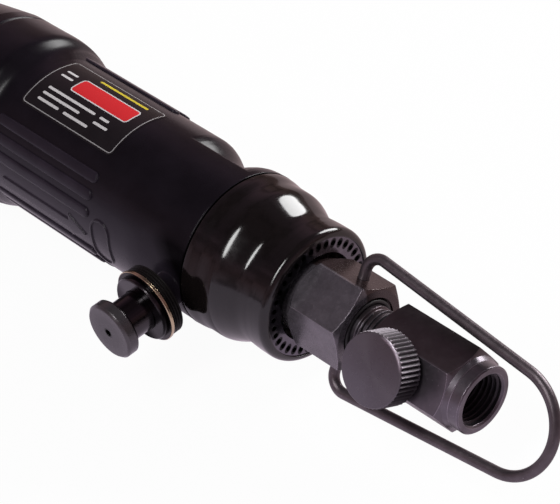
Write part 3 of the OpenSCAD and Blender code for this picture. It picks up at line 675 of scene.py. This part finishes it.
def washer_finish():
    """Dark ring with a bright bronze band round its middle."""
    material, tree, shader = new_finish("washer_bronze")
    where = place(tree)
    _, y, _ = axes(tree, where)
    tint = tint_of("bronze")
    marks = noise(tree, where, 0.5 * MM)
    bronze = mix_colour(tree, marks, lighter(tint, 0.8), lighter(tint, 1.15))
    give(
        tree, shader,
        base=mix_colour(tree, band(tree, y, WASHER_LOW, WASHER_HIGH), tint_of("collar"), bronze),
        metal=1.0,
        rough=mottled(tree, marks, 0.2, 0.3),
        normal=bump(tree, marks, 0.001 * MM, 0.4, soft_edges(tree, 0.12 * MM)))
    return material


def dull_finish(name, tint, roughness, grain, depth, sheen=0.5):
    """Rubber, felt or fibre with a grain."""
    material, tree, shader = new_finish(name)
    fibres = noise(tree, place(tree), grain, 4.0)
    give(
        tree, shader,
        base=mix_colour(tree, fibres, lighter(tint, 0.7), lighter(tint, 1.3)),
        gloss=sheen,
        rough=mottled(tree, fibres, roughness - 0.08, roughness + 0.08),
        normal=bump(tree, fibres, depth, 0.6))
    return material


def plate_print():
    """Dark plate with a pale border, a red bar, pale rules and a yellow stripe."""
    material, tree, shader = new_finish("plate_print")
    where = place(tree)
    x, y, z = axes(tree, where)
    size = sizes()
    along = calc(tree, "SUBTRACT", x, size.plate_start + size.plate_length / 2)
    across = product(tree, turn_round(tree, y, z), size.grip_radius)

    def box_distance(mid_x, mid_y, half_x, half_y, corner):
        """Distance outside a rounded rectangle, negative inside it."""
        over = []
        for value, mid, half in ((along, mid_x, half_x), (across, mid_y, half_y)):
            reach = calc(tree, "ABSOLUTE", calc(tree, "SUBTRACT", value, mid))
            over.append(calc(tree, "MAXIMUM", calc(tree, "SUBTRACT", reach, half - corner), 0.0))
        return calc(tree, "SUBTRACT", length(tree, *over), corner)

    def rule(mid_x, mid_y, half_x, half_y):
        """1 on a round-ended rule."""
        return calc(tree, "LESS_THAN", box_distance(mid_x, mid_y, half_x, half_y, half_y), 0.0)

    pale = tint_of("plate_rule")
    edge = box_distance(0.0, 0.0, size.plate_length / 2, size.plate_width / 2, PLATE_CORNER)
    border = band(tree, edge, -0.75 * MM, -0.5 * MM)
    result = mix_colour(tree, border, tint_of("plate_field"), lighter(pale, 0.55))
    for mid_x, mid_y, half in PLATE_RULES:
        result = mix_colour(tree, rule(mid_x * MM, mid_y * MM, half * MM, 0.38 * MM), result, pale)
    stripe = rule(-3.5 * MM, -7.6 * MM, 9.0 * MM, 0.42 * MM)
    result = mix_colour(tree, stripe, result, tint_of("plate_stripe"))
    bar = box_distance(-2.5 * MM, -2.2 * MM, 10.5 * MM, 2.6 * MM, 0.9 * MM)
    result = mix_colour(tree, calc(tree, "LESS_THAN", bar, 0.35 * MM), result, pale)
    result = mix_colour(tree, calc(tree, "LESS_THAN", bar, 0.0), result, tint_of("plate_bar"))
    give(tree, shader, base=result, rough=mottled(tree, noise(tree, where, 3 * MM), 0.28, 0.36))
    return material


# Modelling helpers


def start_clean():
    """Nothing selected, Object mode."""
    if bpy.context.object and bpy.context.object.mode != "OBJECT":
        bpy.ops.object.mode_set(mode="OBJECT")
    bpy.ops.object.select_all(action="DESELECT")


def apply_place():
    """Puts the active object's place, turn and scale into its mesh."""
    bpy.ops.object.transform_apply(location=True, rotation=True, scale=True)


def named(name):
    """Names the active object and its mesh, with its place in the mesh."""
    piece = bpy.context.object
    piece.name = name
    piece.data.name = name
    apply_place()
    return piece


def dress(piece, body, material):
    """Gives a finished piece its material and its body."""
    piece.data.materials.clear()
    piece.data.materials.append(material)
    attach(piece, body)


def helix(name, corners, section, start, middle, turns, pitch, inward=False):
    """A tube of a few corners wound about the X axis, from its first turn's station."""
    start_clean()
    bpy.ops.mesh.primitive_circle_add(
        vertices=corners, radius=section, fill_type="NOTHING", location=(start, 0, middle),
        rotation=(math.pi / 2, 0, 0))
    piece = named(name)
    if inward:
        for vertex in piece.data.vertices:
            vertex.co.z = 2 * middle - vertex.co.z
    screw = piece.modifiers.new("turns", "SCREW")
    screw.axis = "X"
    screw.angle = 2 * math.pi
    screw.screw_offset = pitch
    screw.iterations = turns
    screw.steps = HELIX_STEPS
    screw.render_steps = HELIX_STEPS
    bpy.ops.object.modifier_apply(modifier=screw.name)
    bpy.ops.object.mode_set(mode="EDIT")
    bpy.ops.mesh.select_all(action="SELECT")
    bpy.ops.mesh.fill_holes(sides=corners)
    bpy.ops.mesh.normals_make_consistent(inside=False)
    bpy.ops.object.mode_set(mode="OBJECT")
    bpy.ops.object.shade_smooth_by_angle(angle=math.radians(40))
    return piece


def thread(name, start, turns, wall, ridge, pitch):
    """A helical ridge about the X axis; a negative ridge points inwards."""
    section = abs(ridge) * 0.75
    middle = wall + ridge * 0.3
    return helix(name, THREAD_CORNERS, section, start, middle, turns, pitch, inward=ridge < 0)


# Operators


class SCREWDRIVER_OT_finishes(bpy.types.Operator):
    """Give every CAD node its finish"""

    bl_idname = "screwdriver.finishes"
    bl_label = "Finishes"

    def by_slot(self):
        """The finish of each material slot."""
        dark_steel = tint_of("dark_steel")
        return {
            "body_paint": body_coating("body_coating"),
            "cap_gloss": cap_polish(),
            "exhaust_satin": exhaust_satin(),
            "felt": dull_finish("pressed_felt", (0.3, 0.27, 0.23), 0.9, 0.3 * MM, 0.1 * MM),
            "dark_steel": black_oxide("black_oxide", dark_steel, 0.22, 0.32),
            "bronze": plain_metal("plain_bronze", tint_of("bronze"), 0.35),
            "rubber": dull_finish("black_rubber", (0.012, 0.011, 0.012), 0.55, 0.4 * MM, 0.01 * MM),
            "steel": plain_metal("ground_steel", (0.5, 0.49, 0.47), 0.32),
            "seat_alloy": plain_metal("turned_alloy", (0.6, 0.59, 0.57), 0.35),
            "vane_fibre": dull_finish("vane_fibre", (0.2, 0.12, 0.07), 0.6, 0.2 * MM, 0.02 * MM),
        }

    def by_node(self):
        """The finish of each node that differs from its slot's."""
        dark_steel = tint_of("dark_steel")
        button = button_polish()
        return {
            "regulator_knob": spun_oxide(),
            "reverse_spool": button,
            "reverse_flange": button,
            "reverse_collar": black_oxide(
                "collar_black", lighter(tint_of("collar"), 0.35), 0.3, 0.4, metal=0.0, gloss=0.06),
            "inlet_bushing": black_oxide("bushing_oxide", dark_steel, 0.22, 0.32, metal=0.58, shade_amount=1.0),
            "regulator_body": black_oxide(
                "regulator_oxide", lighter(dark_steel, 0.95), 0.3, 0.4, metal=0.86, shade_amount=0.62, limit=30),
            "reverse_washer": washer_finish(),
            "hanger_bail": black_oxide("wire_black", tint_of("wire"), 0.34, 0.46),
        }

    def execute(self, context):
        slots = self.by_slot()
        nodes = self.by_node()
        for subpart in frame["record"]["subparts"]:
            node = frame["nodes"][subpart["node"]]
            finish = nodes.get(subpart["node"], slots[subpart["material_slot"]])
            for slot in node.material_slots:
                slot.material = finish
        return {"FINISHED"}


class SCREWDRIVER_OT_threads(bpy.types.Operator):
    """Cut the inlet's thread and the thread on the regulator's neck"""

    bl_idname = "screwdriver.threads"
    bl_label = "Threads"

    def execute(self, context):
        size = sizes()
        pitch = size.thread_pitch
        # painted shade: the threads take a darker copy of the oxide
        oxide = black_oxide("thread_oxide", lighter(tint_of("dark_steel"), 0.3), 0.42, 0.52, gloss=0.3)
        turns = int((size.inlet_depth - pitch) / pitch)
        inlet = thread("inlet_thread", size.thread_start, turns, size.inlet_wall, -size.ridge, pitch)
        dress(inlet, "body", oxide)
        neck = thread("neck_thread", size.neck_start, size.neck_turns, size.neck_root, size.ridge, pitch)
        dress(neck, "body", oxide)
        return {"FINISHED"}


class SCREWDRIVER_OT_springs(bpy.types.Operator):
    """Wind the two coil springs"""

    bl_idname = "screwdriver.springs"
    bl_label = "Springs"

    WIRE_CORNERS = 8

    # stations of the two ends and of the fixed one, mean radius and wire radius in millimetres,
    # and the share of its length that a spring keeps at full travel
    COILS = (
        {
            "name": "throttle_coil", "node": "throttle_spring", "body": "body", "joint": "spindle_push",
            "start": 91.6, "end": 95.2, "fixed": 91.55, "radius": 3.4, "wire": 0.4, "turns": 3, "keep": 0.3,
        },
        {
            "name": "sleeve_coil", "node": "sleeve_spring", "body": "spindle", "joint": "collar_slide",
            "start": 231.11, "end": 240.41, "fixed": 240.47, "radius": 7.65, "wire": 0.45, "turns": 4,
            "keep": 0.56,
        },
    )

    def wind(self, spring):
        """One spring, between its two end stations."""
        wire = spring["wire"]
        turns = spring["turns"]
        pitch = (spring["end"] - spring["start"] - 2 * wire) / turns
        return helix(
            spring["name"], self.WIRE_CORNERS, wire * MM, (spring["start"] + wire) * MM,
            spring["radius"] * MM, turns, pitch * MM)

    def execute(self, context):
        steel = bpy.data.materials["ground_steel"]
        for spring in self.COILS:
            coil = self.wind(spring)
            dress(coil, spring["body"], steel)
            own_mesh(coil)
            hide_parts(spring["node"])
        return {"FINISHED"}


class SCREWDRIVER_OT_ribs(bpy.types.Operator):
    """Round the crowns of the grip's ribs"""

    bl_idname = "screwdriver.ribs"
    bl_label = "Ribs"

    ANGLES = (46, 59, 72, 108, 121, 134)
    CROWN_POWER = 0.55
    # the crowns' coating is lighter than the body's by this gain
    CROWN_GAIN = 2.6

    def crown(self, angle, start):
        """One long rounded crown, from a ball stretched along the grip."""
        size = sizes()
        start_clean()
        bpy.ops.mesh.primitive_uv_sphere_add(segments=24, ring_count=16, radius=1)
        piece = bpy.context.object
        for vertex in piece.data.vertices:
            vertex.co.z = math.copysign(abs(vertex.co.z) ** self.CROWN_POWER, vertex.co.z)
        piece.scale = (size.rib_width / 2, size.rib_width / 2, size.rib_height)
        apply_place()
        for vertex in piece.data.vertices:
            if vertex.co.x > 0:
                vertex.co.x += size.rib_end - start
        piece.location = (start + size.rib_width / 2, 0, 0)
        apply_place()
        for vertex in piece.data.vertices:
            vertex.co.z += size.grip_radius
        piece.rotation_euler = (-math.radians(angle), 0, 0)
        apply_place()
        return piece

    def execute(self, context):
        size = sizes()
        crowns = []
        for angle in self.ANGLES:
            crowns.append(self.crown(angle, size.rib_start))
            crowns.append(self.crown(-angle, size.rib_start + size.rib_stagger))
        start_clean()
        for piece in crowns:
            piece.select_set(True)
        context.view_layer.objects.active = crowns[0]
        bpy.ops.object.join()
        bpy.ops.object.shade_smooth()
        coating = body_coating("rubbed_coating", self.CROWN_GAIN)
        dress(named("rib_crowns"), "body", coating)
        return {"FINISHED"}


class SCREWDRIVER_OT_rings(bpy.types.Operator):
    """Add the black ring of painted shade in the cap's seam, the regulator's chamfer and the flow knob's
    smooth face
    """

    bl_idname = "screwdriver.rings"
    bl_label = "Rings"

    FACE_DEPTH = 0.6 * MM
    FACE_EDGE = 0.28 * MM

    def gasket(self):
        """A black ring of painted shade in the seam between cap and body."""
        size = sizes()
        start_clean()
        bpy.ops.mesh.primitive_torus_add(
            major_radius=size.seam_radius, minor_radius=size.seam_section, major_segments=120,
            minor_segments=10, location=(size.seam_station, 0, 0), rotation=(0, math.pi / 2, 0))
        bpy.ops.object.shade_smooth()
        seam = dull_finish("seam_black", (0.001, 0.001, 0.001), 0.9, 1 * MM, 0.001 * MM, 0.0)
        dress(named("cap_gasket"), "body", seam)

    def chamfer(self):
        """A cone over the step between the regulator's round end and its hexagon."""
        size = sizes()
        start_clean()
        section = size.chamfer_large - size.chamfer_small
        bpy.ops.mesh.primitive_torus_add(
            major_radius=size.chamfer_small, minor_radius=section, major_segments=240, minor_segments=3,
            rotation=(0, math.pi / 2, 0))
        piece = named("regulator_fillet")
        for vertex in piece.data.vertices:
            station, radius = size.chamfer_end, size.chamfer_large
            if vertex.co.x < -section / 2:
                station, radius = size.chamfer_start, size.chamfer_small
            elif vertex.co.x > section / 2:
                station, radius = size.chamfer_end, size.chamfer_root
            gain = radius / math.hypot(vertex.co.y, vertex.co.z)
            vertex.co = (station, vertex.co.y * gain, vertex.co.z * gain)
        dress(piece, "body", bpy.data.materials["regulator_oxide"])

    def knob_face(self):
        """The flow knob's smooth face, just proud of its knurled rim."""
        size = sizes()
        start_clean()
        middle = Vector((KNOB_STATION, 0, 0)) + KNOB_AXIS * (size.knob_top - self.FACE_DEPTH / 3)
        bpy.ops.mesh.primitive_cylinder_add(
            vertices=96, radius=size.knob_face, depth=self.FACE_DEPTH, location=middle,
            rotation=(-KNOB_TURN, 0, 0))
        piece = named("knob_face")
        edge = piece.modifiers.new("edge", "BEVEL")
        edge.width = self.FACE_EDGE
        edge.segments = 3
        edge.limit_method = "ANGLE"
        bpy.ops.object.modifier_apply(modifier=edge.name)
        bpy.ops.object.shade_smooth_by_angle(angle=math.radians(30))
        dress(piece, "flow_knob", bpy.data.materials["spun_oxide"])

    def execute(self, context):
        self.gasket()
        self.chamfer()
        self.knob_face()
        return {"FINISHED"}


class SCREWDRIVER_OT_plate(bpy.types.Operator):
    """Lay the plate on the grip"""

    bl_idname = "screwdriver.plate"
    bl_label = "Plate"

    STRIPS = 28
    CLEARANCE = 0.005 * MM

    def execute(self, context):
        size = sizes()
        start_clean()
        bpy.ops.mesh.primitive_plane_add(size=1, location=(0, 0, 0))
        bpy.context.object.scale = (size.plate_length, size.plate_width, 1)
        piece = named("grip_plate")
        bpy.ops.object.mode_set(mode="EDIT")
        bpy.ops.mesh.select_all(action="SELECT")
        bpy.ops.mesh.bevel(offset=PLATE_CORNER, segments=6, affect="VERTICES")
        for i in range(1, self.STRIPS):
            cut = size.plate_width * (i / self.STRIPS - 0.5)
            bpy.ops.mesh.select_all(action="SELECT")
            bpy.ops.mesh.bisect(plane_co=(0, cut, 0), plane_no=(0, 1, 0))
        bpy.ops.object.mode_set(mode="OBJECT")
        mid = size.plate_start + size.plate_length / 2
        radius = size.grip_radius + self.CLEARANCE
        for vertex in piece.data.vertices:
            turn = vertex.co.y / size.grip_radius
            vertex.co = (mid + vertex.co.x, radius * math.sin(turn), radius * math.cos(turn))
        wall = piece.modifiers.new("wall", "SOLIDIFY")
        wall.thickness = size.plate_thickness
        wall.offset = 1
        bpy.ops.object.modifier_apply(modifier=wall.name)
        bpy.ops.object.shade_smooth_by_angle(angle=math.radians(30))
        dress(piece, "body", plate_print())
        return {"FINISHED"}


class SCREWDRIVER_OT_studio(bpy.types.Operator):
    """Set the floor, the light and the camera"""

    bl_idname = "screwdriver.studio"
    bl_label = "Studio"

    # the camera: its place in metres, and the directions of its right, up and back
    CAMERA_PLACE = (-0.28144, 0.27593, 0.40668)
    CAMERA_RIGHT = (-0.6913, -0.7147, -0.1064)
    CAMERA_UP = (0.4290, -0.5245, 0.7355)
    CAMERA_BACK = (-0.5814, 0.4628, 0.6691)
    LENS_MM = 160.62
    SENSOR_MM = 36

    # soft boxes: name, place, width and height in metres, and watts
    LAMPS = (
        ("tall_strip", (0.026, 0.501, 0.746), 0.14, 0.7, 3.8),
        ("far_box", (0.02, -0.82, 0.36), 0.44, 0.52, 8.0),
    )
    LAMP_AIM = Vector((0.07, 0, 0))

    # the room by the height of the ray, from the horizon to the zenith
    DOME = (
        (0.0, (0.62, 0.5, 0.62)), (0.1, (0.5, 0.38, 0.45)), (0.33, (0.35, 0.21, 0.24)),
        (0.56, (0.25, 0.155, 0.2)), (0.75, (0.11, 0.075, 0.1)), (1.0, (0.07, 0.05, 0.055)),
    )
    LOW_FAR = (0.24, 0.15, 0.14)
    SOFT_LIGHT = (0.2, 0.185, 0.205)

    FLOOR_SIZE = 6
    FLOOR_MIDDLE = 0.1
    FLOOR_GAP = 0.2 * MM
    FLOOR_GLOW = 0.96
    WHITE = (1, 1, 1)

    def white_ground(self):
        """A floor that glows white to the camera and pale to reflections, with a faint shadow."""
        start_clean()
        lowest = CAD_BOUNDS[0][2]
        bpy.ops.mesh.primitive_plane_add(
            size=self.FLOOR_SIZE, location=(self.FLOOR_MIDDLE, 0, lowest - self.FLOOR_GAP))
        floor = named("studio_floor")
        material = bpy.data.materials.new("floor_white")
        material.use_nodes = True
        tree = material.node_tree
        tree.nodes.clear()
        output = tree.nodes.new("ShaderNodeOutputMaterial")
        paint = tree.nodes.new("ShaderNodeBsdfDiffuse")
        paint.inputs["Color"].default_value = (0.9, 0.9, 0.9, 1)
        glow = tree.nodes.new("ShaderNodeEmission")
        rays = tree.nodes.new("ShaderNodeLightPath").outputs
        _, y, _ = axes(tree, place(tree))
        # painted shadow: to reflections the floor glows dimmer on the far side of the tool
        lit = spread(tree, y, -0.06, 0.03, 0.0, 1.0)
        sheen = mix_colour(tree, lit, (0.6, 0.45, 0.46), (0.8, 0.69, 0.83))
        feed(tree, mix_colour(tree, rays["Is Camera Ray"], sheen, self.WHITE), glow.inputs["Color"])
        seen = calc(tree, "MAXIMUM", rays["Is Camera Ray"], rays["Is Glossy Ray"])
        mixer = tree.nodes.new("ShaderNodeMixShader")
        tree.links.new(product(tree, seen, self.FLOOR_GLOW), mixer.inputs["Fac"])
        tree.links.new(paint.outputs["BSDF"], mixer.inputs[1])
        tree.links.new(glow.outputs["Emission"], mixer.inputs[2])
        tree.links.new(mixer.outputs["Shader"], output.inputs["Surface"])
        floor.data.materials.append(material)

    def dim_room(self):
        """A world that is white to the camera and dim to the object."""
        world = bpy.data.worlds.new("studio_room")
        bpy.context.scene.world = world
        world.use_nodes = True
        tree = world.node_tree
        tree.nodes.clear()
        output = tree.nodes.new("ShaderNodeOutputWorld")
        glow = tree.nodes.new("ShaderNodeBackground")
        rays = tree.nodes.new("ShaderNodeLightPath").outputs
        where = tree.nodes.new("ShaderNodeTexCoord").outputs["Generated"]
        _, y, z = axes(tree, where)
        low_far = product(tree, spread(tree, y, 0.1, -0.4, 0.0, 1.0), spread(tree, z, 0.4, 0.25, 0.0, 1.0))
        dome = mix_colour(tree, low_far, ramp(tree, z, self.DOME), self.LOW_FAR)
        streaks = spread(tree, noise(tree, where, 0.22), 0.4, 0.6, 0.45, 1.35)
        room = mix_colour(tree, streaks, (0, 0, 0), dome)
        room = mix_colour(tree, rays["Is Glossy Ray"], self.SOFT_LIGHT, room)
        feed(tree, mix_colour(tree, rays["Is Camera Ray"], room, self.WHITE), glow.inputs["Color"])
        tree.links.new(glow.outputs["Background"], output.inputs["Surface"])

    def soft_box(self, name, where, width, height, watts):
        """A soft box that shines at the tool."""
        start_clean()
        bpy.ops.object.light_add(type="AREA", location=where)
        light = bpy.context.object
        light.name = name
        light.data.shape = "ELLIPSE"
        light.data.size = width
        light.data.size_y = height
        light.data.energy = watts
        light.rotation_euler = (self.LAMP_AIM - Vector(where)).to_track_quat("-Z", "Y").to_euler()

    def set_camera(self, scene):
        """The camera that looks at the tool from behind and above."""
        camera = bpy.data.cameras.new("photo_camera")
        camera.lens = self.LENS_MM
        camera.sensor_width = self.SENSOR_MM
        camera.sensor_fit = "HORIZONTAL"
        camera.clip_start = 0.01
        holder = bpy.data.objects.new("photo_camera", camera)
        scene.collection.objects.link(holder)
        turn = Matrix((self.CAMERA_RIGHT, self.CAMERA_UP, self.CAMERA_BACK)).transposed().to_4x4()
        holder.matrix_world = Matrix.Translation(self.CAMERA_PLACE) @ turn
        scene.camera = holder

    def execute(self, context):
        scene = context.scene
        scene.view_settings.view_transform = "Standard"
        self.white_ground()
        self.dim_room()
        for box in self.LAMPS:
            self.soft_box(*box)
        self.set_camera(scene)
        return {"FINISHED"}


class SCREWDRIVER_PT_panel(bpy.types.Panel):
    """Lists the steps of the dressing"""

    bl_label = "Air Screwdriver"
    bl_idname = "SCREWDRIVER_PT_panel"
    bl_space_type = "VIEW_3D"
    bl_region_type = "UI"
    bl_category = "Air Screwdriver"

    def draw(self, context):
        for step in STEPS:
            self.layout.operator(step.bl_idname)
        for group in (context.scene.screwdriver_sizes, context.scene.screwdriver_colours):
            for key in group.__annotations__:
                self.layout.prop(group, key)


STEPS = (
    SCREWDRIVER_OT_finishes, SCREWDRIVER_OT_threads, SCREWDRIVER_OT_springs, SCREWDRIVER_OT_ribs,
    SCREWDRIVER_OT_rings, SCREWDRIVER_OT_plate, SCREWDRIVER_OT_studio,
)
CLASSES = (ScrewdriverSizes, ScrewdriverColours, *STEPS, SCREWDRIVER_PT_panel)


def register():
    for cls in CLASSES:
        bpy.utils.register_class(cls)
    bpy.types.Scene.screwdriver_sizes = PointerProperty(type=ScrewdriverSizes)
    bpy.types.Scene.screwdriver_colours = PointerProperty(type=ScrewdriverColours)


def unregister():
    del bpy.types.Scene.screwdriver_colours
    del bpy.types.Scene.screwdriver_sizes
    for cls in reversed(CLASSES):
        bpy.utils.unregister_class(cls)


def main():
    register()
    bpy.ops.screwdriver.finishes()
    bpy.ops.screwdriver.threads()
    bpy.ops.screwdriver.springs()
    bpy.ops.screwdriver.ribs()
    bpy.ops.screwdriver.rings()
    bpy.ops.screwdriver.plate()
    bpy.ops.screwdriver.studio()


if __name__ == "__main__":
    main()
